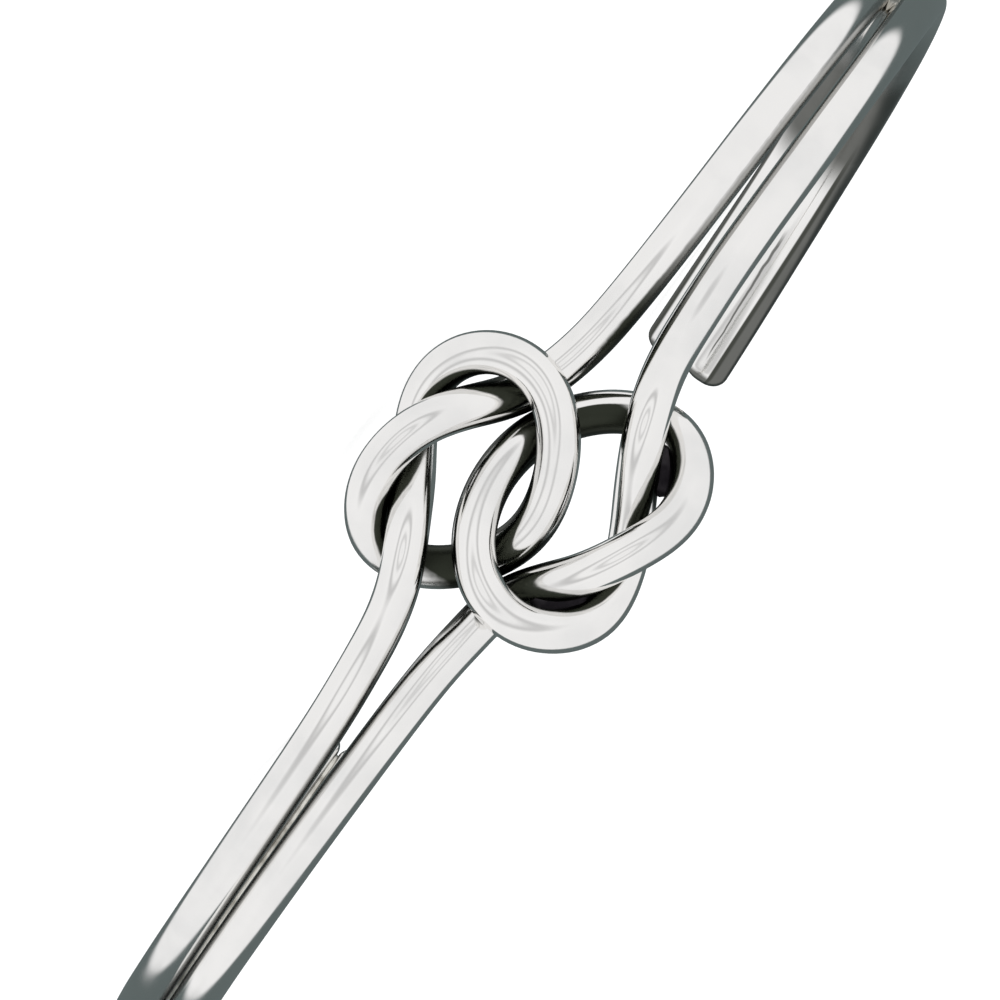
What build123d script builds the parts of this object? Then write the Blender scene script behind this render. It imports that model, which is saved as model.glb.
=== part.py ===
from build123d import *
import os
from math import cos, radians, sin, sqrt, tan

# Driving dimensions, in millimetres and degrees. The cuff is drawn flat first: X across the
# wrist, Y from the knot at the front to the opening at the back, Z across the band.
wire_diameter = 2.0
half_width = 30.3  # from the middle of the cuff to the wires' centres at its widest
depth = 49.6  # from the wires' centres at the front to their centres at the back
end_spread = 0.2  # how much further apart an arm's two wires lie at the free end
knot_reach = 3.0  # half the knot along the band, in wire diameters
knot_rise = 3.15  # half the knot across the band, in wire diameters
strand_clearance = 0.15  # between two strands where one passes over the other
solder_gap = 0.12  # between the two wires where solder joins them
solder_height = 0.9  # the solder in the groove between them, across the band
solder_width = 0.7  # and through it
end_rounding = 0.8  # of the free ends' edges
first_turn = 27.0  # how far round the oval the knot's curves end and the arm's begin
solder_turn = 76.0  # how far round the oval the wires come together
arm_steps = 8  # corners along each arm after its first
corner_share = 0.45  # of the shorter run beside a corner that its arc takes
solder_setback = 0.1  # of the last run that the solder leaves bare at a free end
samples_per_wire = 400  # for finding what the cuff rests on
levelling_rounds = 6
knot_zone = 12.4  # how far behind the front the knot's lowest point is looked for

# Each arm: its side, how far round the oval it turns, how far its free end rises out of the
# band's plane, the open gap between its wires beside the knot, and how long that gap stays
# open (under 1 stays wide, over 1 closes early).
# side, end_turn, end_rise, open_gap, closing
arms = [
    (-1, 159.5, 1.40, 0.50, 0.5),
    (1, 152.0, -1.00, 0.28, 4.0),
]

# The knot's corner points, read along each wire. along is a share of the knot's reach towards
# +X, across a share of its rise, and lift a share of the height that clears a crossing.
# along, across, lift
low_wire_knot = [
    (1.72, -0.24, 0.00),
    (1.39, -0.28, 0.40),
    (1.07, -0.37, 1.25),
    (0.75, -0.54, 0.95),
    (0.41, -0.72, -0.55),
    (0.10, -0.94, -1.25),
    (-0.22, -1.04, -0.70),
    (-0.51, -0.97, 0.10),
    (-0.70, -0.78, 0.80),
    (-0.77, -0.52, 1.15),
    (-0.67, -0.23, 1.20),
    (-0.42, 0.00, 0.85),
    (-0.07, 0.16, 0.10),
    (0.27, 0.20, -0.40),
    (0.61, 0.06, -1.35),
    (0.86, -0.17, -1.30),
    (1.00, -0.41, -1.25),
    (1.02, -0.70, -0.60),
    (0.79, -0.91, 0.40),
    (0.49, -0.98, 1.00),
    (0.13, -0.92, 1.25),
    (-0.18, -0.74, 0.60),
    (-0.43, -0.53, -0.50),
    (-0.70, -0.38, -1.05),
    (-1.12, -0.27, -0.45),
    (-1.57, -0.23, 0.00),
]
# along, across, lift
high_wire_knot = [
    (-1.72, 0.24, 0.00),
    (-1.39, 0.27, 0.40),
    (-1.07, 0.35, 1.25),
    (-0.78, 0.46, 0.95),
    (-0.45, 0.63, -0.40),
    (-0.14, 0.81, -1.25),
    (0.18, 0.93, -0.80),
    (0.50, 0.96, 0.00),
    (0.77, 0.77, 0.80),
    (0.90, 0.47, 1.15),
    (0.82, 0.13, 1.20),
    (0.57, -0.12, 0.70),
    (0.18, -0.26, 0.00),
    (-0.22, -0.25, -0.55),
    (-0.57, -0.12, -1.45),
    (-0.86, 0.13, -1.30),
    (-1.01, 0.41, -1.25),
    (-1.01, 0.70, -0.60),
    (-0.78, 0.94, 0.30),
    (-0.44, 1.01, 0.90),
    (-0.08, 0.87, 1.25),
    (0.29, 0.68, 0.70),
    (0.54, 0.46, -0.50),
    (0.79, 0.30, -1.10),
    (1.12, 0.26, -0.45),
    (1.54, 0.21, 0.00),
]

# Two dabs of solder fill the narrow slots between a loop and the strand that crosses it.
# along, across, lift
knot_solder = [
    [(0.71, 0.49, 0.10), (0.57, 0.65, 0.10), (0.39, 0.80, 0.20)],
    [(-0.53, 0.79, -0.15), (-0.64, 0.74, -0.20), (-0.75, 0.67, -0.25), (-0.85, 0.57, -0.30)],
]

wire_radius = wire_diameter / 2
half_depth = depth / 2
crossing_lift = (wire_diameter + strand_clearance) / 2


def knot_points(table):
    """A wire's corner points through the knot, which follows the front of the oval."""
    points = []
    for along, across, lift in table:
        x = along * knot_reach * wire_diameter
        front = half_depth * (1 - sqrt(1 - (x / half_width) ** 2))
        points.append(Vector(x, front - lift * crossing_lift, across * knot_rise * wire_diameter))
    return points


def arm_points(side, end_turn, end_rise, open_gap, closing, level):
    """A wire's corner points round one arm, from the knot to the free end. level is -1 for
    the low wire, 1 for the high one, and 0 for the middle between them."""
    turn_step = (end_turn - first_turn) / arm_steps
    points = []
    for step in range(arm_steps + 1):
        turn = first_turn + step * turn_step
        outset = 1 / cos(radians(turn_step / 2)) if step < arm_steps else 1
        still_open = max(0, (solder_turn - turn) / (solder_turn - first_turn))
        returning = max(0, (turn - 90) / (end_turn - 90))
        gap = solder_gap + open_gap * still_open**closing + end_spread * returning**3
        points.append(
            Vector(
                side * half_width * sin(radians(turn)) * outset,
                half_depth * (1 - cos(radians(turn)) * outset),
                level * (wire_diameter + gap) / 2 + end_rise * returning,
            )
        )
    return points


def corner_radii(points):
    """The radius of the arc at each inner corner, as large as its two runs allow."""
    radii = []
    for before, corner, after in zip(points, points[1:], points[2:]):
        run_in, run_out = corner - before, after - corner
        shorter = min(run_in.length, run_out.length)
        radii.append(corner_share * shorter / tan(radians(run_in.get_angle(run_out) / 2)))
    return radii


def wire_points(knot_table, level):
    """The whole wire: in along the arm that the knot's table starts from, out along the other."""
    start_side = 1 if knot_table[0][0] > 0 else -1
    start_arm = next(arm for arm in arms if arm[0] == start_side)
    end_arm = next(arm for arm in arms if arm[0] == -start_side)
    return (
        arm_points(*start_arm, level)[::-1] + knot_points(knot_table) + arm_points(*end_arm, level)
    )


def solder_points(arm):
    """The line between an arm's two wires, from where they come together to the free end."""
    side, end_turn = arm[:2]
    turn_step = (end_turn - first_turn) / arm_steps
    joined = arm_points(*arm, 0)[int((solder_turn - first_turn) / turn_step) :]
    end = joined[-1] + (joined[-2] - joined[-1]) * solder_setback
    return [(joined[0] + joined[1]) / 2] + joined[1:-1] + [end]


def floor_plane(paths):
    """The flat surface that the cuff rests on: it touches the knot and both arms."""
    shares = [step / samples_per_wire for step in range(samples_per_wire + 1)]
    samples = [path @ share for path in paths for share in shares]
    knot = [point for point in samples if point.Y < knot_zone]
    left = [point for point in samples if point.Y > half_depth and point.X < 0]
    right = [point for point in samples if point.Y > half_depth and point.X > 0]
    up = Vector(0, 0, 1)
    for _ in range(levelling_rounds):
        low_knot, low_left, low_right = (
            min(group, key=lambda point: point.dot(up)) for group in (knot, left, right)
        )
        up = (low_right - low_knot).cross(low_left - low_knot).normalized()
    return Plane(origin=low_knot - up * wire_radius, x_dir=Vector(1, 0, 0), z_dir=up)


with BuildPart() as soldered_wires:
    wire_paths = []
    for knot_table, level in ((low_wire_knot, -1), (high_wire_knot, 1)):
        points = wire_points(knot_table, level)
        with BuildLine() as wire_path:
            FilletPolyline(*points, radius=corner_radii(points))
        wire_paths.append(wire_path.wire())
        # The seam of the wire's surface runs along its outer side, away from the solder.
        start = Plane(wire_paths[-1] @ 0, x_dir=Vector(0, 0, level), z_dir=wire_paths[-1] % 0)
        with BuildSketch(start):
            Circle(wire_radius)
        sweep(path=wire_paths[-1])
    for free_end in soldered_wires.faces().filter_by(GeomType.PLANE):
        fillet(free_end.edges(), end_rounding)
    for points in [solder_points(arm) for arm in arms] + [knot_points(dab) for dab in knot_solder]:
        with BuildLine() as solder_path:
            FilletPolyline(*points, radius=corner_radii(points))
        solder_line = solder_path.wire()
        with BuildSketch(Plane(solder_line @ 0, x_dir=Vector(0, 0, 1), z_dir=solder_line % 0)):
            Rectangle(solder_height, solder_width)
        sweep(path=solder_line)

# Laid down: the knot is taller than the band, so the cuff leans back on its two arms.
laid_down = soldered_wires.part.moved(floor_plane(wire_paths).location.inverse())
extent = laid_down.bounding_box()
with BuildPart() as knot_cuff:
    add(laid_down.moved(Location((-extent.center().X, -extent.center().Y, -extent.min.Z))))

print("wire lengths", [round(path.length, 1) for path in wire_paths])
os.makedirs("parts", exist_ok=True)
knot_cuff.part.label = "knot_cuff"
export_step(knot_cuff.part, "parts/knot_cuff.step")
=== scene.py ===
# Knot cuff bracelet in silver: two round wires whose overhand knots are linked at the front,
# soldered side by side along both arms, and left open at the back. Lengths are in metres,
# angles in degrees.
import math

import bpy
from mathutils import Matrix, Vector
from mathutils.bvhtree import BVHTree


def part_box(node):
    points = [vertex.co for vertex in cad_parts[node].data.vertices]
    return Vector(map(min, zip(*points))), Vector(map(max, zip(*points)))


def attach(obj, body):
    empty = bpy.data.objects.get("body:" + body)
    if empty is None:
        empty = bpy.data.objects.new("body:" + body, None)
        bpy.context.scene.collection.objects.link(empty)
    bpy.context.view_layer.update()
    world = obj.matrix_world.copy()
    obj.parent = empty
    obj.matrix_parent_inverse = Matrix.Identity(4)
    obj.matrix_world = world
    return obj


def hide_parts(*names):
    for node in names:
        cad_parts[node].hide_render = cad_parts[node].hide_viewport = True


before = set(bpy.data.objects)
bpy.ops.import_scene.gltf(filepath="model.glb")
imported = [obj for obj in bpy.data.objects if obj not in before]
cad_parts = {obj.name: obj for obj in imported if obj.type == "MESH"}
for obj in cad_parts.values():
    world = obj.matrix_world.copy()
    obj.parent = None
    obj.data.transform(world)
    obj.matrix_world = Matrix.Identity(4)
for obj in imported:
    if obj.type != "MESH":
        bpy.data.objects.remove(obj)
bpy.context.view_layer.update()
cuffLow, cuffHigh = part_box("knot_cuff")
print("frame loaded")

# The cuff, drawn flat before it is laid down: X across the wrist, Y from the knot to the opening
# at the back, Z across the band.
cuff = {
    "wireDiameter": 0.0020,
    "halfWidth": 0.0303,  # from the middle of the cuff to the wires' centres
    "halfDepth": 0.0248,
    "endSpread": 0.0002,  # how much further apart an arm's two wires lie at the free end
    "knotReach": 3.0,  # half the knot along the band, in wire diameters
    "knotRise": 3.15,  # half the knot across the band, in wire diameters
    "strandClearance": 0.00015,  # where one strand passes over another
    "solderGap": 0.00012,  # between the two wires where they are soldered
    "firstTurn": 27.0,  # how far round the oval each arm begins
    "solderTurn": 76.0,  # and where its wires come together
    "solderSetback": 0.1,  # of the last run, left bare at a free end
    "armSteps": 8,
    "knotZone": 0.0124,  # how far behind the front the knot's lowest point is looked for
    "levellingRounds": 6,
}
# side, how far round the oval the arm ends, its end's rise, the open gap beside the knot, and how
# early that closes; left is towards -X
arms = {
    "left": (-1, 159.5, 0.00140, 0.00050, 0.5),
    "right": (1, 152.0, -0.00100, 0.00028, 4.0),
}
# Corner points along each wire through the knot: a share of its reach towards +X, a share of its
# rise, and a share of the height that clears a crossing.
lowWireKnot = [
    (1.72, -0.24, 0.00), (1.39, -0.28, 0.40), (1.07, -0.37, 1.25), (0.75, -0.54, 0.95),
    (0.41, -0.72, -0.55), (0.10, -0.94, -1.25), (-0.22, -1.04, -0.70), (-0.51, -0.97, 0.10),
    (-0.70, -0.78, 0.80), (-0.77, -0.52, 1.15), (-0.67, -0.23, 1.20), (-0.42, 0.00, 0.85),
    (-0.07, 0.16, 0.10), (0.27, 0.20, -0.40), (0.61, 0.06, -1.35), (0.86, -0.17, -1.30),
    (1.00, -0.41, -1.25), (1.02, -0.70, -0.60), (0.79, -0.91, 0.40), (0.49, -0.98, 1.00),
    (0.13, -0.92, 1.25), (-0.18, -0.74, 0.60), (-0.43, -0.53, -0.50), (-0.70, -0.38, -1.05),
    (-1.12, -0.27, -0.45), (-1.57, -0.23, 0.00),
]
highWireKnot = [
    (-1.72, 0.24, 0.00), (-1.39, 0.27, 0.40), (-1.07, 0.35, 1.25), (-0.78, 0.46, 0.95),
    (-0.45, 0.63, -0.40), (-0.14, 0.81, -1.25), (0.18, 0.93, -0.80), (0.50, 0.96, 0.00),
    (0.77, 0.77, 0.80), (0.90, 0.47, 1.15), (0.82, 0.13, 1.20), (0.57, -0.12, 0.70),
    (0.18, -0.26, 0.00), (-0.22, -0.25, -0.55), (-0.57, -0.12, -1.45), (-0.86, 0.13, -1.30),
    (-1.01, 0.41, -1.25), (-1.01, 0.70, -0.60), (-0.78, 0.94, 0.30), (-0.44, 1.01, 0.90),
    (-0.08, 0.87, 1.25), (0.29, 0.68, 0.70), (0.54, 0.46, -0.50), (0.79, 0.30, -1.10),
    (1.12, 0.26, -0.45), (1.54, 0.21, 0.00),
]
# Two dabs of solder between a loop and the strand that crosses it, in the same shares. Left and
# right are as the turned camera sees them, so the left one is towards +X.
knotSolder = {
    "left": [(0.71, 0.49, 0.10), (0.57, 0.65, 0.10), (0.39, 0.80, 0.20)],
    "right": [(-0.53, 0.79, -0.15), (-0.64, 0.74, -0.20), (-0.75, 0.67, -0.25), (-0.85, 0.57, -0.30)],
}

# The camera looks at the knot from a little above the floor, turned so that the band runs
# steeply across the frame.
cameraView = {
    "target": (0.00099, -0.02293, 0.00688),
    "distance": 0.480,
    "azimuth": 0.81,
    "elevation": 8.105,
    "roll": 129.74,
    "lens": 384.5,
    "sensor": 36.0,
    "near": 0.1,  # near and far clip the view, in shares of the distance
    "far": 20.0,
}


def makeCamera(view):
    azimuth, elevation = math.radians(view["azimuth"]), math.radians(view["elevation"])
    back = Vector((
        math.sin(azimuth) * math.cos(elevation),
        -math.cos(azimuth) * math.cos(elevation),
        math.sin(elevation),
    ))
    level = (-back).to_track_quat("-Z", "Y").to_matrix()
    camera = bpy.data.objects.new("camera", bpy.data.cameras.new("camera"))
    bpy.context.scene.collection.objects.link(camera)
    camera.matrix_world = (
        Matrix.Translation(Vector(view["target"]) + back * view["distance"])
        @ level.to_4x4()
        @ Matrix.Rotation(math.radians(view["roll"]), 4, "Z")
    )
    camera.data.lens = view["lens"]
    camera.data.sensor_width = view["sensor"]
    camera.data.clip_start = view["distance"] * view["near"]
    camera.data.clip_end = view["distance"] * view["far"]
    bpy.context.scene.camera = camera


makeCamera(cameraView)
print("camera placed")


# Node helpers: settings are a node's own options, values go to sockets by name or number.
def addNode(tree, kind, settings=None, values=None, output=0):
    node = tree.nodes.new(kind)
    for option, value in (settings or {}).items():
        setattr(node, option, value)
    for socket, value in (values or {}).items():
        if isinstance(value, bpy.types.NodeSocket):
            tree.links.new(value, node.inputs[socket])
        else:
            node.inputs[socket].default_value = value
    return node.outputs[output]


def mathNode(tree, operation, *values):
    return addNode(
        tree, "ShaderNodeMath", {"operation": operation}, dict(enumerate(values))
    )


# The wires' routes
def knotPoints(table):
    points = []
    for along, across, lift in table:
        x = along * cuff["knotReach"] * cuff["wireDiameter"]
        front = cuff["halfDepth"] * (1 - math.sqrt(1 - (x / cuff["halfWidth"]) ** 2))
        height = lift * (cuff["wireDiameter"] + cuff["strandClearance"]) / 2
        points.append(Vector((x, front - height, across * cuff["knotRise"] * cuff["wireDiameter"])))
    return points


def armPoints(arm, level):
    # level is -1 for the low wire, 1 for the high one and 0 for the line between them
    side, endTurn, endRise, openGap, closing = arm
    turnStep = (endTurn - cuff["firstTurn"]) / cuff["armSteps"]
    points = []
    for step in range(cuff["armSteps"] + 1):
        turn = cuff["firstTurn"] + step * turnStep
        outset = 1 / math.cos(math.radians(turnStep / 2)) if step < cuff["armSteps"] else 1
        stillOpen = max(0, (cuff["solderTurn"] - turn) / (cuff["solderTurn"] - cuff["firstTurn"]))
        returning = max(0, (turn - 90) / (endTurn - 90))
        gap = cuff["solderGap"] + openGap * stillOpen**closing + cuff["endSpread"] * returning**3
        points.append(Vector((
            side * cuff["halfWidth"] * math.sin(math.radians(turn)) * outset,
            cuff["halfDepth"] * (1 - math.cos(math.radians(turn)) * outset),
            level * (cuff["wireDiameter"] + gap) / 2 + endRise * returning,
        )))
    return points


def wirePoints(table, level):
    near, far = ("right", "left") if table[0][0] > 0 else ("left", "right")
    return armPoints(arms[near], level)[::-1] + knotPoints(table) + armPoints(arms[far], level)


def makeRoute(name, points, resolution=24):
    curve = bpy.data.curves.new(name, "CURVE")
    curve.dimensions = "3D"
    curve.resolution_u = resolution
    spline = curve.splines.new("NURBS")
    spline.points.add(len(points) - 1)
    for point, corner in zip(spline.points, points):
        point.co = (*corner, 1)
    spline.order_u = 3
    spline.use_endpoint_u = True
    route = bpy.data.objects.new(name, curve)
    bpy.context.scene.collection.objects.link(route)
    return route


def routeSamples(route):
    mesh = bpy.data.meshes.new_from_object(route)
    samples = [vertex.co.copy() for vertex in mesh.vertices]
    bpy.data.meshes.remove(mesh)
    return samples


# Laid down: the knot is taller than the band, so the cuff leans back on its two arms.
def restingTurn(samples):
    groups = [
        [p for p in samples if p.y < cuff["knotZone"]],
        [p for p in samples if p.y > cuff["halfDepth"] and p.x < 0],
        [p for p in samples if p.y > cuff["halfDepth"] and p.x > 0],
    ]
    up = Vector((0, 0, 1))
    for _ in range(cuff["levellingRounds"]):
        knot, left, right = (min(group, key=lambda p: p.dot(up)) for group in groups)
        up = (right - knot).cross(left - knot).normalized()
    across = (Vector((1, 0, 0)) - up * up.x).normalized()
    return Matrix((across, up.cross(across), up)).to_4x4()


routes = {
    "low_wire": makeRoute("lowRoute", wirePoints(lowWireKnot, -1)),
    "high_wire": makeRoute("highRoute", wirePoints(highWireKnot, 1)),
}
layDown = restingTurn([p for route in routes.values() for p in routeSamples(route)])
print("routes drawn")


# A tree with named inputs, and its group input and output
def newTree(name, sockets):
    tree = bpy.data.node_groups.new(name, "GeometryNodeTree")
    tree.interface.new_socket("Geometry", in_out="INPUT", socket_type="NodeSocketGeometry")
    for label, kind in sockets:
        tree.interface.new_socket(label, in_out="INPUT", socket_type="NodeSocket" + kind)
    tree.interface.new_socket("Geometry", in_out="OUTPUT", socket_type="NodeSocketGeometry")
    return tree, tree.nodes.new("NodeGroupInput").outputs


def endTree(tree, geometry, material):
    smooth = addNode(tree, "GeometryNodeSetShadeSmooth", values={"Geometry": geometry})
    real = addNode(tree, "GeometryNodeRealizeInstances", values={"Geometry": smooth})
    painted = addNode(
        tree, "GeometryNodeSetMaterial", values={"Geometry": real, "Material": material}
    )
    tree.links.new(painted, tree.nodes.new("NodeGroupOutput").inputs[0])


# A length of drawn wire along a curve: evenly spaced rings, rounded ends, and a diameter that
# wanders a little. wireSpace holds the place along the wire and round it, for the finish.
def drawnWireTree():
    tree, given = newTree("drawn wire", [
        ("Radius", "Float"), ("End Rounding", "Float"), ("Ring Spacing", "Float"),
        ("Sides", "Int"), ("End Rings", "Int"), ("Easing", "Int"), ("Unevenness", "Float"),
        ("Wander Scale", "Float"), ("Planished Length", "Float"), ("Planished Flatness", "Float"),
        ("Planished Spread", "Float"), ("Inward", "Float"), ("Level", "Float"), ("Rim Start", "Float"),
        ("Seed", "Float"), ("Material", "Material"),
    ])
    eased = addNode(tree, "GeometryNodeResampleCurve", {"mode": "LENGTH"},
                    {"Curve": given["Geometry"], "Length": given["Ring Spacing"]})
    position = addNode(tree, "GeometryNodeInputPosition")
    ends = addNode(tree, "GeometryNodeCurveEndpointSelection")
    inner = addNode(tree, "FunctionNodeBooleanMath", {"operation": "NOT"}, {0: ends})
    blurred = addNode(tree, "GeometryNodeBlurAttribute", {"data_type": "FLOAT_VECTOR"},
                      {"Value": position, "Iterations": given["Easing"], "Weight": inner})
    eased = addNode(tree, "GeometryNodeSetPosition", values={"Geometry": eased, "Position": blurred})
    length = addNode(tree, "GeometryNodeCurveLength", values={"Curve": eased})
    middleRings = mathNode(tree, "CEIL", mathNode(tree, "DIVIDE", length, given["Ring Spacing"]))
    bothEnds = mathNode(tree, "MULTIPLY", given["End Rings"], 2)
    lastRing = mathNode(tree, "ADD", middleRings, bothEnds)
    count = mathNode(tree, "ADD", lastRing, 1)
    line = addNode(tree, "GeometryNodeResampleCurve", {"mode": "COUNT"},
                   {"Curve": addNode(tree, "GeometryNodeCurvePrimitiveLine"), "Count": count})

    # Rings crowd together over each rounded end, as a quarter circle needs.
    index = addNode(tree, "GeometryNodeInputIndex")
    fromEnd = mathNode(tree, "MINIMUM", index, mathNode(tree, "SUBTRACT", lastRing, index))
    share = mathNode(tree, "MINIMUM", mathNode(tree, "DIVIDE", fromEnd, given["End Rings"]), 1)
    angle = mathNode(tree, "MULTIPLY", share, math.pi / 2)
    rounded = mathNode(tree, "MULTIPLY", given["End Rounding"],
                       mathNode(tree, "SUBTRACT", 1, mathNode(tree, "COSINE", angle)))
    straight = mathNode(tree, "SUBTRACT", length, mathNode(tree, "MULTIPLY", given["End Rounding"], 2))
    beyond = mathNode(tree, "MAXIMUM", mathNode(tree, "SUBTRACT", fromEnd, given["End Rings"]), 0)
    spacing = mathNode(tree, "DIVIDE", straight, middleRings)
    near = mathNode(tree, "ADD", rounded, mathNode(tree, "MULTIPLY", beyond, spacing))
    secondHalf = mathNode(tree, "GREATER_THAN", index, mathNode(tree, "MULTIPLY", lastRing, 0.5))
    along = addNode(tree, "ShaderNodeMix", {"data_type": "FLOAT"},
                    {"Factor": secondHalf, "A": near, "B": mathNode(tree, "SUBTRACT", length, near)})
    sampled = addNode(tree, "GeometryNodeSampleCurve", {"mode": "LENGTH"},
                      {"Curves": eased, "Length": along}, output="Position")
    line = addNode(tree, "GeometryNodeSetPosition", values={"Geometry": line, "Position": sampled})

    wander = addNode(tree, "ShaderNodeTexNoise", {"noise_dimensions": "2D"}, {
        "Vector": addNode(tree, "ShaderNodeCombineXYZ", values={"X": along, "Y": given["Seed"]}),
        "Scale": given["Wander Scale"], "Detail": 1.0,
    })
    change = mathNode(tree, "MULTIPLY", mathNode(tree, "SUBTRACT", wander, 0.5), given["Unevenness"])
    full = mathNode(tree, "MULTIPLY", given["Radius"], mathNode(tree, "ADD", change, 1))
    cut = mathNode(tree, "MULTIPLY", given["End Rounding"],
                   mathNode(tree, "SUBTRACT", 1, mathNode(tree, "SINE", angle)))
    ringRadius = mathNode(tree, "SUBTRACT", full, cut)
    fromTip = mathNode(tree, "MINIMUM", along, mathNode(tree, "SUBTRACT", length, along))
    planished = addNode(tree, "ShaderNodeMapRange", {"interpolation_type": "SMOOTHSTEP"},
                        {"Value": fromTip, "From Min": given["Planished Length"], "From Max": 0.0},
                        output="Result")
    for name, kind, value in (
        ("alongWire", "FLOAT", along),
        ("planished", "FLOAT", planished),
        ("wireCentre", "FLOAT_VECTOR", addNode(tree, "GeometryNodeInputPosition")),
        ("wireHeading", "FLOAT_VECTOR", addNode(tree, "GeometryNodeInputTangent")),
    ):
        line = addNode(tree, "GeometryNodeStoreNamedAttribute", {"domain": "POINT", "data_type": kind},
                       {"Geometry": line, "Name": name, "Value": value})

    profile = addNode(tree, "GeometryNodeCurvePrimitiveCircle", values={
        "Resolution": given["Sides"], "Radius": 1.0})
    turn = mathNode(tree, "DIVIDE", mathNode(tree, "MULTIPLY", index, 2 * math.pi), given["Sides"])
    profile = addNode(tree, "GeometryNodeStoreNamedAttribute", {"domain": "POINT"},
                      {"Geometry": profile, "Name": "roundWire", "Value": turn})
    wire = addNode(tree, "GeometryNodeCurveToMesh", values={
        "Curve": line, "Profile Curve": profile, "Scale": ringRadius, "Fill Caps": True})

    # The free ends are planished: flatter through the band and a little wider across it.
    def saved(name, kind="FLOAT"):
        return addNode(tree, "GeometryNodeInputNamedAttribute", {"data_type": kind}, {"Name": name})

    def vectorNode(operation, *values, output=0):
        return addNode(tree, "ShaderNodeVectorMath", {"operation": operation},
                       dict(enumerate(values)), output)

    heading, amount = saved("wireHeading", "FLOAT_VECTOR"), saved("planished")
    upward = addNode(tree, "ShaderNodeCombineXYZ", values={"Z": 1.0})
    through = vectorNode("NORMALIZE", vectorNode("CROSS_PRODUCT", heading, upward))
    acrossBand = vectorNode("CROSS_PRODUCT", through, heading)
    offset = vectorNode("SUBTRACT", addNode(tree, "GeometryNodeInputPosition"),
                        saved("wireCentre", "FLOAT_VECTOR"))
    away = vectorNode("LENGTH", offset, output="Value")
    power = mathNode(tree, "MULTIPLY_ADD", amount, given["Planished Flatness"], 2.0)
    parts = [vectorNode("DOT_PRODUCT", offset, way, output="Value") for way in (through, acrossBand)]
    powers = [
        mathNode(tree, "POWER", mathNode(tree, "ABSOLUTE", mathNode(tree, "DIVIDE", part, away)), power)
        for part in parts
    ]
    squarer = mathNode(tree, "POWER", mathNode(tree, "ADD", *powers),
                       mathNode(tree, "DIVIDE", -1.0, power))
    thinner = mathNode(tree, "SUBTRACT", 1.0, mathNode(
        tree, "MULTIPLY", amount, mathNode(tree, "MULTIPLY", given["Planished Spread"], 2.0)))
    wider = mathNode(tree, "MULTIPLY_ADD", amount, given["Planished Spread"], 1.0)
    moved = saved("wireCentre", "FLOAT_VECTOR")
    for part, way, change in zip(parts, (through, acrossBand), (thinner, wider)):
        size = mathNode(tree, "MULTIPLY", mathNode(tree, "MULTIPLY", part, change), squarer)
        scaled = addNode(tree, "ShaderNodeVectorMath", {"operation": "SCALE"}, {0: way, "Scale": size})
        moved = vectorNode("ADD", moved, scaled)
    worked = mathNode(tree, "GREATER_THAN", amount, 0.0)
    wire = addNode(tree, "GeometryNodeSetPosition", values={
        "Geometry": wire, "Selection": worked, "Position": moved})

    savedAlong, savedTurn = saved("alongWire"), saved("roundWire")
    fromEnd = mathNode(tree, "MINIMUM", savedAlong, mathNode(tree, "SUBTRACT", length, savedAlong))
    inward = mathNode(tree, "MULTIPLY", mathNode(tree, "DIVIDE", parts[0], away), given["Inward"])
    outward = mathNode(tree, "MULTIPLY", mathNode(tree, "DIVIDE", parts[1], away), given["Level"])
    # endFace places points on the free ends for the silver's painted dark rim, cut end, inner side and
    # groove shade
    endFace = addNode(tree, "ShaderNodeCombineXYZ", values={
        "X": fromEnd, "Y": mathNode(tree, "SUBTRACT", outward, given["Rim Start"]), "Z": inward})
    wire = addNode(tree, "GeometryNodeStoreNamedAttribute",
                   {"domain": "POINT", "data_type": "FLOAT_VECTOR"},
                   {"Geometry": wire, "Name": "endFace", "Value": endFace})
    wireSpace = addNode(tree, "ShaderNodeCombineXYZ", values={
        "X": savedAlong,
        "Y": mathNode(tree, "MULTIPLY", given["Radius"], mathNode(tree, "COSINE", savedTurn)),
        "Z": mathNode(tree, "MULTIPLY", given["Radius"], mathNode(tree, "SINE", savedTurn)),
    })
    wire = addNode(tree, "GeometryNodeStoreNamedAttribute",
                   {"domain": "POINT", "data_type": "FLOAT_VECTOR"},
                   {"Geometry": wire, "Name": "wireSpace", "Value": wireSpace})
    for name in ("alongWire", "roundWire", "planished", "wireHeading"):
        wire = addNode(tree, "GeometryNodeRemoveAttribute", values={"Geometry": wire, "Name": name})
    endTree(tree, wire, given["Material"])
    return tree


# Runs a tree on a route and keeps the result as a plain mesh object at the origin.
def makePiece(name, route, tree, values):
    modifier = route.modifiers.new("shape", "NODES")
    modifier.node_group = tree
    for item in tree.interface.items_tree:
        if item.in_out == "INPUT" and item.name in values:
            modifier[item.identifier] = values[item.name]
    seen = route.evaluated_get(bpy.context.evaluated_depsgraph_get())
    mesh = bpy.data.meshes.new_from_object(seen)
    mesh.name = name
    route.modifiers.remove(modifier)
    bpy.data.objects.remove(route)
    piece = bpy.data.objects.new(name, mesh)
    bpy.context.scene.collection.objects.link(piece)
    return piece


wireForm = {
    "Radius": cuff["wireDiameter"] / 2,
    "End Rounding": 0.0008,
    "Ring Spacing": 0.00025,
    "Sides": 40,
    "End Rings": 9,
    "Easing": 8,
    "Unevenness": 0.02,
    "Wander Scale": 160.0,
    "Planished Length": 0.014,  # measured from the free end
    "Planished Flatness": 0.6,
    "Planished Spread": 0.12,
}
# Level is -1 for the low wire; Inward tells which way round the wire runs; Rim Start is how far across the
# wire the painted dark rim of its free ends begins, in shares of its radius; the rim is painted shade and
# reflection.
wireTurns = {
    "low_wire": {"Level": -1.0, "Inward": 1.0, "Rim Start": 0.76, "Seed": 3.0},
    "high_wire": {"Level": 1.0, "Inward": -1.0, "Rim Start": 0.34, "Seed": 4.0},
}


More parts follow.
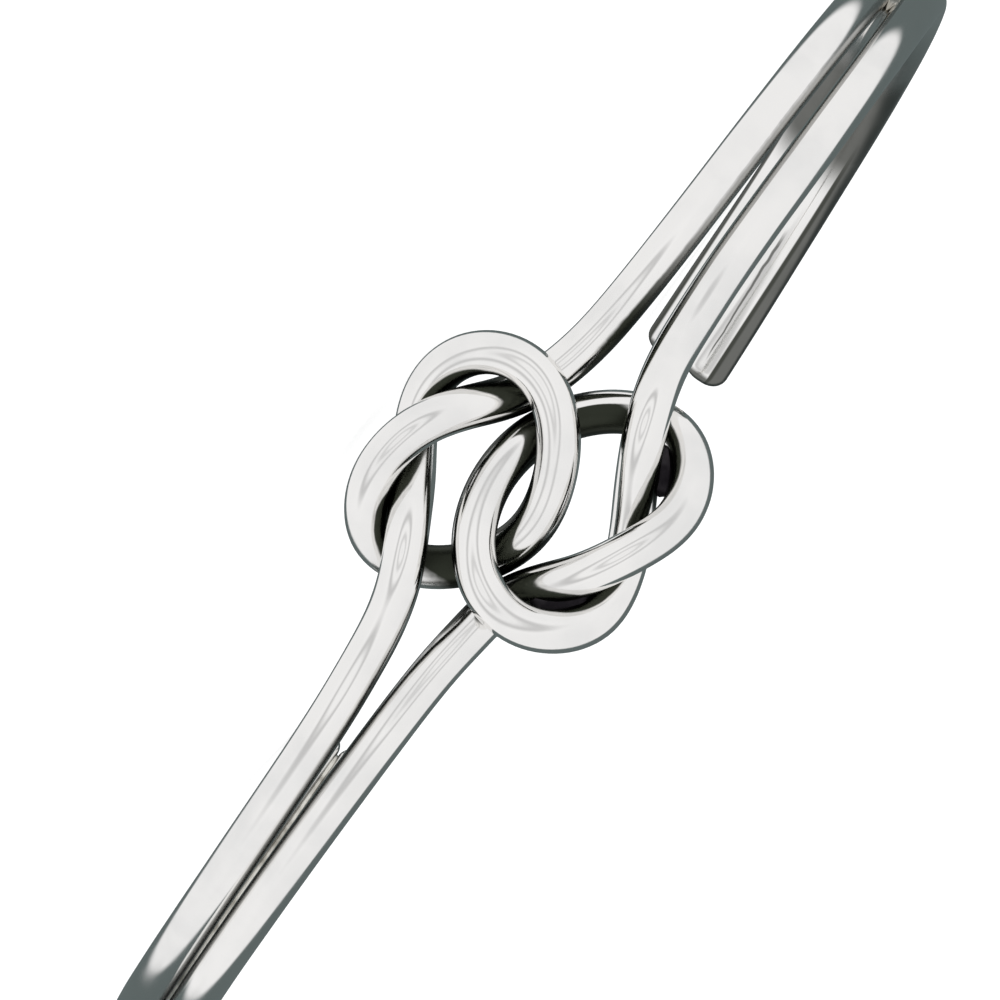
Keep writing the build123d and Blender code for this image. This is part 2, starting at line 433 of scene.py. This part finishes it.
# Solder in the groove between an arm's two wires: hollow on both faces where it climbs the
# wires, and lumpy along its length.
def solderTree():
    tree, given = newTree("solder seam", [
        ("Half Width", "Float"), ("Half Depth", "Float"), ("Climb", "Float"),
        ("Lumpiness", "Float"), ("Lump Scale", "Float"), ("End Steepness", "Float"),
        ("Squareness", "Float"), ("Ring Spacing", "Float"), ("Sides", "Int"), ("Seed", "Float"),
        ("Material", "Material"),
    ])
    line = addNode(tree, "GeometryNodeResampleCurve", {"mode": "LENGTH"},
                   {"Curve": given["Geometry"], "Length": given["Ring Spacing"]})
    line = addNode(tree, "GeometryNodeSetCurveNormal", {"mode": "Z_UP"}, {"Curve": line})
    along = addNode(tree, "GeometryNodeSplineParameter", output="Length")
    share = addNode(tree, "GeometryNodeSplineParameter", output="Factor")
    lumps = addNode(tree, "ShaderNodeTexNoise", {"noise_dimensions": "2D"}, {
        "Vector": addNode(tree, "ShaderNodeCombineXYZ", values={"X": along, "Y": given["Seed"]}),
        "Scale": given["Lump Scale"], "Detail": 3.0,
    })
    swell = mathNode(tree, "MULTIPLY", mathNode(tree, "SUBTRACT", lumps, 0.5), given["Lumpiness"])
    toEnd = mathNode(tree, "MULTIPLY", share, mathNode(tree, "SUBTRACT", 1, share))
    taper = mathNode(tree, "MINIMUM", mathNode(tree, "MULTIPLY", toEnd, given["End Steepness"]), 1)
    scale = mathNode(tree, "MULTIPLY", mathNode(tree, "ADD", swell, 1), mathNode(tree, "SQRT", taper))

    turn = mathNode(tree, "DIVIDE",
                    mathNode(tree, "MULTIPLY", addNode(tree, "GeometryNodeInputIndex"), 2 * math.pi),
                    given["Sides"])
    across = mathNode(tree, "SINE", turn)
    facing = mathNode(tree, "COSINE", turn)
    squared = mathNode(tree, "MULTIPLY", mathNode(tree, "SIGN", facing),
                       mathNode(tree, "POWER", mathNode(tree, "ABSOLUTE", facing), given["Squareness"]))
    climbed = mathNode(tree, "ADD", mathNode(tree, "MULTIPLY", given["Climb"],
                                             mathNode(tree, "POWER", across, 2)), 1)
    outline = addNode(tree, "ShaderNodeCombineXYZ", values={
        "X": mathNode(tree, "MULTIPLY", given["Half Depth"], mathNode(tree, "MULTIPLY", squared, climbed)),
        "Y": mathNode(tree, "MULTIPLY", given["Half Width"], across),
    })
    profile = addNode(tree, "GeometryNodeCurvePrimitiveCircle", values={"Resolution": given["Sides"]})
    profile = addNode(tree, "GeometryNodeSetPosition", values={"Geometry": profile, "Position": outline})
    seam = addNode(tree, "GeometryNodeCurveToMesh", values={
        "Curve": line, "Profile Curve": profile, "Scale": scale, "Fill Caps": True})
    endTree(tree, seam, given["Material"])
    return tree


def solderPoints(arm):
    joined = armPoints(arm, 0)
    start = int((cuff["solderTurn"] - cuff["firstTurn"]) * cuff["armSteps"]
                / (arm[1] - cuff["firstTurn"]))
    joined = joined[start:]
    end = joined[-1].lerp(joined[-2], cuff["solderSetback"])
    return [(joined[0] + joined[1]) / 2] + joined[1:-1] + [end]


solderForm = {
    "Half Width": 0.00022,
    "Half Depth": 0.00030,
    "Climb": 0.8,
    "Lumpiness": 0.35,
    "Lump Scale": 450.0,
    "End Steepness": 60.0,
    "Squareness": 0.3,  # 1 is round, 0 square
    "Ring Spacing": 0.0002,
    "Sides": 20,
}
# The dabs are wider, and rounder at their ends.
dabForm = {
    **solderForm,
    "Half Width": 0.00040,
    "Half Depth": 0.00035,
    "Climb": 0.3,
    "End Steepness": 9.0,
    "Ring Spacing": 0.0001,
}


# The polished silver, whose tarnish colour also paints shade into its crevices and free ends. Noise scales
# are per metre, and pairs run from none to full.
silverFinish = {
    "colour": (0.90, 0.89, 0.87),
    "shade": (0.83, 0.825, 0.81),  # where the polish is a little duller
    "patches": 260.0,
    "patchEdge": (0.40, 0.72),
    "shadeFrays": 1400.0,  # a noise that frays the edge of the painted crevice shade and tarnish
    "shadeFrayShare": 0.10,
    # near-black colour of the tarnish, also used as painted shade in the crevices, on the free ends and
    # behind the knot
    "tarnishAndShadeColour": (0.036, 0.040, 0.030),
    "shadeAndTarnishStart": (0.43, 0.59),  # where the painted crevice shade and tarnish go from clean to black, in shares of shelter
    "rimEdge": 0.08,  # softness of the painted dark rim of shade and reflection along the free ends
    "arms": (0.009, 0.016),  # from the cuff's middle, where the painted crevice shade and tarnish turn lighter
    "armDepth": 0.52,
    "rimDepth": 0.86,
    "rimLine": (0.18, 0.30),  # the painted rim's darker line
    "rimLineDepth": 0.10,
    "insideSide": (0.0, 0.4),  # the arms' inner sides are painted dark with shade in the middle of this reach
    "insideReach": ((0.0125, 0.0155), (0.0255, 0.0205)),
    "rimFade": (0.036, 0.012),  # how far from the free end it is gone, and where it is full
    "rimSide": (-0.3, 0.1),  # from the arm's outer face to its inner one
    "shadedCutEnd": (0.0007, 0.0004),  # the cut end, painted dark as shade, from its tip
    # the groove that the hammer left along the inner face of each free end, painted as a dark line of
    # shade, from its tip
    "groovePlace": -0.78,
    "grooveWander": 0.22,
    "grooveWaves": 500.0,
    "grooveWidth": 0.04,
    "grooveOpens": 8.0,
    "grooveEdge": (1.0, 0.4),
    "grooveSide": (0.0, 0.2),
    "grooveReach": ((0.0012, 0.0022), (0.0100, 0.0085)),
    "grooveShadeDepth": 0.78,
    "roughness": (0.05, 0.14),
    "linesRoughness": 0.05,
    "shadeAndTarnishRoughness": 0.25,
    "drawLines": 0.0000012,  # depth of the fine lines that drawing leaves along a wire
    "lineScale": (90.0, 5200.0, 5200.0),  # along the wire, and round it
    "ripples": 0.000010,  # depth of the slow unevenness of a hand-bent wire
    "rippleScale": (150.0, 420.0, 420.0),
}


def newMaterial(name):
    material = bpy.data.materials.new(name)
    material.use_nodes = True
    tree = material.node_tree
    shader = tree.nodes["Principled BSDF"]
    shader.inputs["Metallic"].default_value = 1.0
    return material, tree, shader


def rampBetween(tree, value, low, high):
    return addNode(tree, "ShaderNodeMapRange", {"interpolation_type": "SMOOTHSTEP"},
                   {"Value": value, "From Min": low, "From Max": high}, output="Result")


def noiseNode(tree, place, scale, detail):
    return addNode(tree, "ShaderNodeTexNoise", values={"Vector": place, "Scale": scale, "Detail": detail})


def mixColours(tree, share, first, second):
    node = tree.nodes.new("ShaderNodeMix")
    node.data_type = "RGBA"  # its colours are sockets 6 and 7, and output 2
    for socket, value in zip((node.inputs[0], node.inputs[6], node.inputs[7]), (share, first, second)):
        if isinstance(value, bpy.types.NodeSocket):
            tree.links.new(value, socket)
        else:
            socket.default_value = (*value, 1) if isinstance(value, tuple) else value
    return node.outputs[2]


def polishedSilver(finish):
    material, tree, shader = newMaterial("polished silver")
    place = addNode(tree, "ShaderNodeAttribute", {"attribute_name": "wireSpace"}, output="Vector")
    surface = addNode(tree, "ShaderNodeTexCoord", output="Object")
    sheltered = addNode(tree, "ShaderNodeAttribute", {"attribute_name": "sheltered"}, output="Fac")

    patches = noiseNode(tree, surface, finish["patches"], 4.0)
    dull = rampBetween(tree, patches, *finish["patchEdge"])
    stretched = addNode(tree, "ShaderNodeMapping", values={"Vector": place, "Scale": finish["lineScale"]})
    lines = noiseNode(tree, stretched, 1.0, 3.0)
    slow = addNode(tree, "ShaderNodeMapping", values={"Vector": place, "Scale": finish["rippleScale"]})
    ripples = noiseNode(tree, slow, 1.0, 1.0)
    shadeFray = noiseNode(tree, surface, finish["shadeFrays"], 3.0)

    # The free ends, darkened with painted shade and reflection: a dark rim, a dark cut end, a dark inner
    # side and the painted shade of a groove
    endFace = addNode(tree, "ShaderNodeAttribute", {"attribute_name": "endFace"}, output="Vector")
    fromEnd, pastRim, inward = [
        addNode(tree, "ShaderNodeSeparateXYZ", values={"Vector": endFace}, output=axis) for axis in "XYZ"
    ]
    rimShade = rampBetween(tree, pastRim, 0.0, finish["rimEdge"])
    for value, (low, high) in ((fromEnd, finish["rimFade"]), (inward, finish["rimSide"])):
        rimShade = mathNode(tree, "MULTIPLY", rimShade, rampBetween(tree, value, low, high))
    capShade = rampBetween(tree, fromEnd, *finish["shadedCutEnd"])
    line = mathNode(tree, "SUBTRACT", 1, rampBetween(tree, pastRim, *finish["rimLine"]))
    insideShade = rampBetween(tree, inward, *finish["insideSide"])
    for low, high in finish["insideReach"]:
        insideShade = mathNode(tree, "MULTIPLY", insideShade, rampBetween(tree, fromEnd, low, high))
    lined = mathNode(tree, "MULTIPLY_ADD", line, finish["rimLineDepth"], finish["rimDepth"])
    rimShade = mathNode(tree, "MULTIPLY", rimShade, lined)
    insideShade = mathNode(tree, "MULTIPLY", insideShade, finish["rimDepth"])
    capShade = mathNode(tree, "MULTIPLY", capShade, finish["rimDepth"])
    # all of the free ends' painted shade and reflection together
    worked = mathNode(tree, "MAXIMUM", mathNode(tree, "MAXIMUM", rimShade, capShade), insideShade)
    wobble = addNode(tree, "ShaderNodeTexNoise", {"noise_dimensions": "1D"},
                     {"W": fromEnd, "Scale": finish["grooveWaves"], "Detail": 2.0})
    groovePlace = mathNode(tree, "MULTIPLY_ADD", wobble, finish["grooveWander"], finish["groovePlace"])
    offGroove = mathNode(tree, "ABSOLUTE", mathNode(tree, "SUBTRACT", pastRim, groovePlace))
    width = mathNode(tree, "MULTIPLY_ADD", fromEnd, finish["grooveOpens"], finish["grooveWidth"])
    grooveShade = rampBetween(tree, mathNode(tree, "DIVIDE", offGroove, width), *finish["grooveEdge"])
    grooveShade = mathNode(tree, "MULTIPLY", grooveShade, rampBetween(tree, inward, *finish["grooveSide"]))
    for low, high in finish["grooveReach"]:
        grooveShade = mathNode(tree, "MULTIPLY", grooveShade, rampBetween(tree, fromEnd, low, high))
    worked = mathNode(tree, "MAXIMUM", worked, mathNode(tree, "MULTIPLY", grooveShade, finish["grooveShadeDepth"]))

    # Painted shade and tarnish in the crevices, less black on the arms
    frayed = mathNode(tree, "MULTIPLY_ADD", shadeFray, finish["shadeFrayShare"], -finish["shadeFrayShare"] / 2)
    edge = mathNode(tree, "ADD", sheltered, frayed)
    acrossWrist = addNode(tree, "ShaderNodeSeparateXYZ", values={"Vector": surface}, output="X")
    onArm = rampBetween(tree, mathNode(tree, "ABSOLUTE", acrossWrist), *finish["arms"])
    depth = mathNode(tree, "MULTIPLY_ADD", onArm, finish["armDepth"] - 1, 1.0)
    creviceShade = mathNode(tree, "MULTIPLY", rampBetween(tree, edge, *finish["shadeAndTarnishStart"]), depth)
    shadeAndTarnish = mathNode(tree, "MAXIMUM", creviceShade, worked)

    bright = mixColours(tree, dull, finish["colour"], finish["shade"])
    # the tarnish colour paints shade and dark reflection into the crevices and onto the free ends
    tree.links.new(mixColours(tree, shadeAndTarnish, bright, finish["tarnishAndShadeColour"]), shader.inputs["Base Color"])
    smooth, rough = finish["roughness"]
    worn = mathNode(tree, "MULTIPLY_ADD", dull, rough - smooth, smooth)
    scored = mathNode(tree, "MULTIPLY_ADD", lines, finish["linesRoughness"], worn)
    tree.links.new(mathNode(tree, "MULTIPLY_ADD", shadeAndTarnish, finish["shadeAndTarnishRoughness"], scored),
                   shader.inputs["Roughness"])

    fine = addNode(tree, "ShaderNodeBump", values={"Distance": finish["drawLines"], "Height": lines})
    wavy = addNode(tree, "ShaderNodeBump", values={
        "Distance": finish["ripples"], "Height": ripples, "Normal": fine})
    tree.links.new(wavy, shader.inputs["Normal"])
    return material


solderFinish = {
    "colour": (0.80, 0.78, 0.72),
    "shade": (0.42, 0.40, 0.35),
    "roughness": 0.22,
    "grain": 0.000012,  # its depth
    "grains": 3800.0,
    "grainRoughness": 0.30,
    "blots": 700.0,
    "blotEdge": (0.42, 0.66),
}
# The knot's solder dabs are coloured near black: real solder, painted with the shade of the crossings
# around it
shadedDabSolder = {
    **solderFinish,
    "colour": (0.060, 0.055, 0.060),
    "shade": (0.025, 0.022, 0.026),
    "roughness": 0.45,
}


def dullSolder(finish):
    material, tree, shader = newMaterial("solder")
    surface = addNode(tree, "ShaderNodeTexCoord", output="Object")
    grains = noiseNode(tree, surface, finish["grains"], 4.0)
    blots = noiseNode(tree, surface, finish["blots"], 3.0)
    stained = rampBetween(tree, blots, *finish["blotEdge"])
    tree.links.new(mixColours(tree, stained, finish["colour"], finish["shade"]),
                   shader.inputs["Base Color"])
    grainy = mathNode(tree, "MULTIPLY_ADD", grains, finish["grainRoughness"], finish["roughness"])
    tree.links.new(grainy, shader.inputs["Roughness"])
    bumps = addNode(tree, "ShaderNodeBump", values={"Distance": finish["grain"], "Height": grains})
    tree.links.new(bumps, shader.inputs["Normal"])
    return material


# How deep each point of the wires lies under its neighbours: the share of short rays from it that meet
# another strand, less at the fronts and more at the sides. The silver paints it into the crevices as shade,
# partly tarnish and partly painted shade and dark reflection; the fronts are painted lighter and the sides
# darker. Strands at the back of the knot count as deep too and get painted shade, but for their own backs,
# and towards -X for the side that looks down and away from the knot.
shelter = {
    "reach": (0.0036, 0.0060),  # in the knot, on the arms
    "knotEnd": (0.0050, 0.0068),  # from the cuff's middle, where the knot ends
    "frontShare": 0.35,  # what a strand straight in front counts
    "frontLightening": 0.65,  # how much lighter the painted shade leaves the fronts than the sides
    "front": (0.52, 0.82),  # how far a surface faces the front
    "sides": 0.5,  # how much darker the painted shade makes the sides
    "side": (0.30, 0.74),
    "armStart": (0.0050, 0.0085),  # from the cuff's middle, where the arms' weights begin
    "arms": {"low_wire": (2.5, 1.5), "high_wire": (0.6, 1.4)},  # weights on the left and right arm
    "blur": (3, 9),  # rings either way, in the knot and on the arms
    "lift": 0.00003,  # of a ray's start off the surface
    # degrees from the surface's normal, and rays round it
    "rays": ((0, 1), (20, 7), (40, 12), (60, 16), (80, 18)),
    "deep": (0.00112, 0.00132),  # how far behind the band's middle a strand is deep, in painted shade
    "deepest": 0.72,
    "clean": (0.03, 0.10),  # how far a side looks down and away
    "worn": (0.35, 0.75),  # the knot's back, which rubs on the wrist
}


def smoothShare(value, low, high):
    share = min(max((value - low) / (high - low), 0), 1)
    return share * share * (3 - 2 * share)


def markShelter(pieces):
    vertices, faces = [], []
    for piece in pieces:
        first = len(vertices)
        vertices += [vertex.co.copy() for vertex in piece.data.vertices]
        faces += [[first + corner for corner in face.vertices] for face in piece.data.polygons]
    walls = BVHTree.FromPolygons(vertices, faces)
    directions = []
    for tilt, count in shelter["rays"]:
        for number in range(count):
            turn = 2 * math.pi * number / count
            ring = math.sin(math.radians(tilt))
            directions.append(Vector((
                ring * math.cos(turn), ring * math.sin(turn), math.cos(math.radians(tilt)))))
    for piece in pieces:
        centres = piece.data.attributes["wireCentre"].data
        values = []
        for vertex in piece.data.vertices:
            normal, place = vertex.normal, vertex.co
            turned = normal.to_track_quat("Z", "X")
            start = place + normal * shelter["lift"]
            onArm = smoothShare(abs(place.x), *shelter["knotEnd"])
            reach = shelter["reach"][0] + onArm * (shelter["reach"][1] - shelter["reach"][0])
            met = 0
            for direction in directions:
                ray = turned @ direction
                if walls.ray_cast(start, ray, reach)[0] is not None:
                    met += 1 + (shelter["frontShare"] - 1) * max(0, -ray.y)
            met /= len(directions)
            weight = shelter["arms"][piece.name][int(place.x > 0)]
            met *= 1 + smoothShare(abs(place.x), *shelter["armStart"]) * (weight - 1)
            # fronts are painted lighter and sides darker, as the light falls on them
            frontward = smoothShare(-normal.y, *shelter["front"])
            sideward = 1 - smoothShare(-normal.y, *shelter["side"])
            met *= 1 + (1 - onArm) * (shelter["sides"] * sideward - shelter["frontLightening"] * frontward)
            centre = centres[vertex.index].vector
            front = cuff["halfDepth"] * (1 - math.sqrt(max(0, 1 - (centre.x / cuff["halfWidth"]) ** 2)))
            outward = Vector((centre.x, 0, centre.z)).normalized()
            lookingDown = max(0, normal.dot(outward)) * max(0, -normal.z) * (centre.x < 0)
            deep = smoothShare(centre.y - front, *shelter["deep"]) * (1 - onArm)
            deep *= 1 - smoothShare(lookingDown, *shelter["clean"])
            deep *= 1 - smoothShare(normal.y, *shelter["worn"])
            values.append(max(min(met, 1), shelter["deepest"] * deep))
        sides, rings = wireForm["Sides"], len(values) // wireForm["Sides"]
        across = [vertex.co.x for vertex in piece.data.vertices]
        blurred = []
        for number in range(len(values)):
            ring, side = divmod(number, sides)
            most = shelter["blur"][1] - shelter["blur"][0]
            blur = shelter["blur"][0] + round(most * smoothShare(abs(across[number]), *shelter["armStart"]))
            near = range(max(ring - blur, 0), min(ring + blur + 1, rings))
            blurred.append(sum(values[other * sides + side] for other in near) / len(near))
        marks = piece.data.attributes.new("sheltered", "FLOAT", "POINT")
        marks.data.foreach_set("value", blurred)
        piece.data.attributes.remove(piece.data.attributes["wireCentre"])


silver = polishedSilver(silverFinish)
solder = dullSolder(solderFinish)
wireTree = drawnWireTree()
wires = [
    makePiece(name, route, wireTree, {**wireForm, **wireTurns[name], "Material": silver})
    for name, route in routes.items()
]
markShelter(wires)
print("wires drawn")
seamTree = solderTree()
seams = [
    makePiece(side + "_solder", makeRoute(side + "Seam", solderPoints(arm)), seamTree,
              {**solderForm, "Seed": seed, "Material": solder})
    for seed, (side, arm) in enumerate(arms.items(), 11)
]
# near-black dabs that paint the crossings' shade onto the solder
shadedDabs = dullSolder(shadedDabSolder)
seams += [
    makePiece(side + "_dab", makeRoute(side + "Dab", knotPoints(table)), seamTree,
              {**dabForm, "Seed": seed, "Material": shadedDabs})
    for seed, (side, table) in enumerate(knotSolder.items(), 21)
]
print("arms and knot soldered")

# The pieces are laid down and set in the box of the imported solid.
for piece in wires + seams:
    piece.data.transform(layDown)
corners = [vertex.co for wire in wires for vertex in wire.data.vertices]
low = Vector([min(corner[axis] for corner in corners) for axis in range(3)])
high = Vector([max(corner[axis] for corner in corners) for axis in range(3)])
move = (cuffLow + cuffHigh - low - high) / 2
move.z = cuffLow.z - low.z
for piece in wires + seams:
    piece.data.transform(Matrix.Translation(move))
print("pieces placed", [round(1000 * side, 2) for side in high - low])
for piece in wires + seams:
    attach(piece, "root")
    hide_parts("knot_cuff")

# Floor and light
studio = {
    "floorSize": 4.0,
    "floorColour": (0.50, 0.50, 0.50),
    "floorRoughness": 0.9,
    "floorGlow": 0.80,
    "dark": (0.12, 0.145, 0.145),
    "window": ((0.69, 1.0, 0.46), (0.12, 0.0, -0.07)),  # half size and middle of the front panel
    # brightness from the panel's middle outwards: faint seams at its edge and half way in
    "panel": ((0.0, 0.90), (0.09, 0.94), (0.155, 0.70), (0.22, 0.94), (0.26, 0.95), (0.333, 0.62),
              (0.406, 0.95), (0.50, 0.93), (1.0, 0.90)),
    "panelReach": 3.0,  # how far out the row above runs, in half sizes
    "panelBlue": 1.01,  # against red and green
    "back": (0.0, 1.0, 0.0),  # the tent is open behind the cuff, wider along this slant
    "slant": (0.75, 0.0, 0.66),
    "slantReach": 0.12,
    "floorBounce": 0.35,  # how far the floor's light reaches back under the opening
    "openEdge": (0.46, 0.56),
}


def makeFloor():
    half = studio["floorSize"] / 2
    mesh = bpy.data.meshes.new("floor")
    corners = [(-half, -half, 0), (half, -half, 0), (half, half, 0), (-half, half, 0)]
    mesh.from_pydata(corners, [], [(0, 1, 2, 3)])
    floor = bpy.data.objects.new("floor", mesh)
    bpy.context.scene.collection.objects.link(floor)
    material = bpy.data.materials.new("pale floor")
    material.use_nodes = True
    shader = material.node_tree.nodes["Principled BSDF"]
    shader.inputs["Base Color"].default_value = (*studio["floorColour"], 1)
    shader.inputs["Roughness"].default_value = studio["floorRoughness"]
    shader.inputs["Emission Color"].default_value = (1, 1, 1, 1)
    shader.inputs["Emission Strength"].default_value = studio["floorGlow"]
    mesh.materials.append(material)
    floor.visible_glossy = False


def makeStudioLight():
    world = bpy.data.worlds.new("white tent")
    bpy.context.scene.world = world
    world.use_nodes = True
    tree = world.node_tree
    background = tree.nodes["Background"]
    direction = addNode(tree, "ShaderNodeTexCoord", output="Generated")
    behind, slant = [
        addNode(tree, "ShaderNodeVectorMath", {"operation": "DOT_PRODUCT"},
                {0: direction, 1: studio[way]}, output="Value")
        for way in ("back", "slant")
    ]
    opening = mathNode(tree, "MULTIPLY_ADD", mathNode(tree, "POWER", slant, 2),
                       studio["slantReach"], behind)
    sideways, upwards = [
        addNode(tree, "ShaderNodeSeparateXYZ", values={"Vector": direction}, output=axis)
        for axis in ("X", "Z")
    ]
    below = mathNode(tree, "MAXIMUM", mathNode(tree, "MULTIPLY", upwards, -1), 0)
    inward = mathNode(tree, "SUBTRACT", 1, mathNode(tree, "ABSOLUTE", sideways))
    bounce = mathNode(tree, "MULTIPLY", mathNode(tree, "MULTIPLY", below, inward), studio["floorBounce"])
    opening = mathNode(tree, "SUBTRACT", opening, bounce)
    shade = rampBetween(tree, opening, *studio["openEdge"])
    halfSize, middle = studio["window"]
    outward = direction
    for operation, value in (("SUBTRACT", middle), ("DIVIDE", halfSize), ("MULTIPLY", (1.0, 0.0, 1.0))):
        outward = addNode(tree, "ShaderNodeVectorMath", {"operation": operation}, {0: outward, 1: value})
    outward = addNode(tree, "ShaderNodeVectorMath", {"operation": "LENGTH"}, {0: outward}, output="Value")
    ramp = tree.nodes.new("ShaderNodeValToRGB")
    ramp.color_ramp.interpolation = "EASE"
    tree.links.new(mathNode(tree, "DIVIDE", outward, studio["panelReach"]), ramp.inputs["Fac"])
    stops = ramp.color_ramp.elements  # a new ramp has two
    for number, (place, value) in enumerate(studio["panel"]):
        stop = stops[number] if number < 2 else stops.new(place)
        stop.position = place
        stop.color = (value, value, value * studio["panelBlue"], 1)
    tree.links.new(mixColours(tree, shade, ramp.outputs["Color"], studio["dark"]),
                   background.inputs["Color"])
    background.inputs["Strength"].default_value = 1.0


makeFloor()
makeStudioLight()
bpy.context.scene.view_settings.view_transform = "Standard"
print("floor and light made")
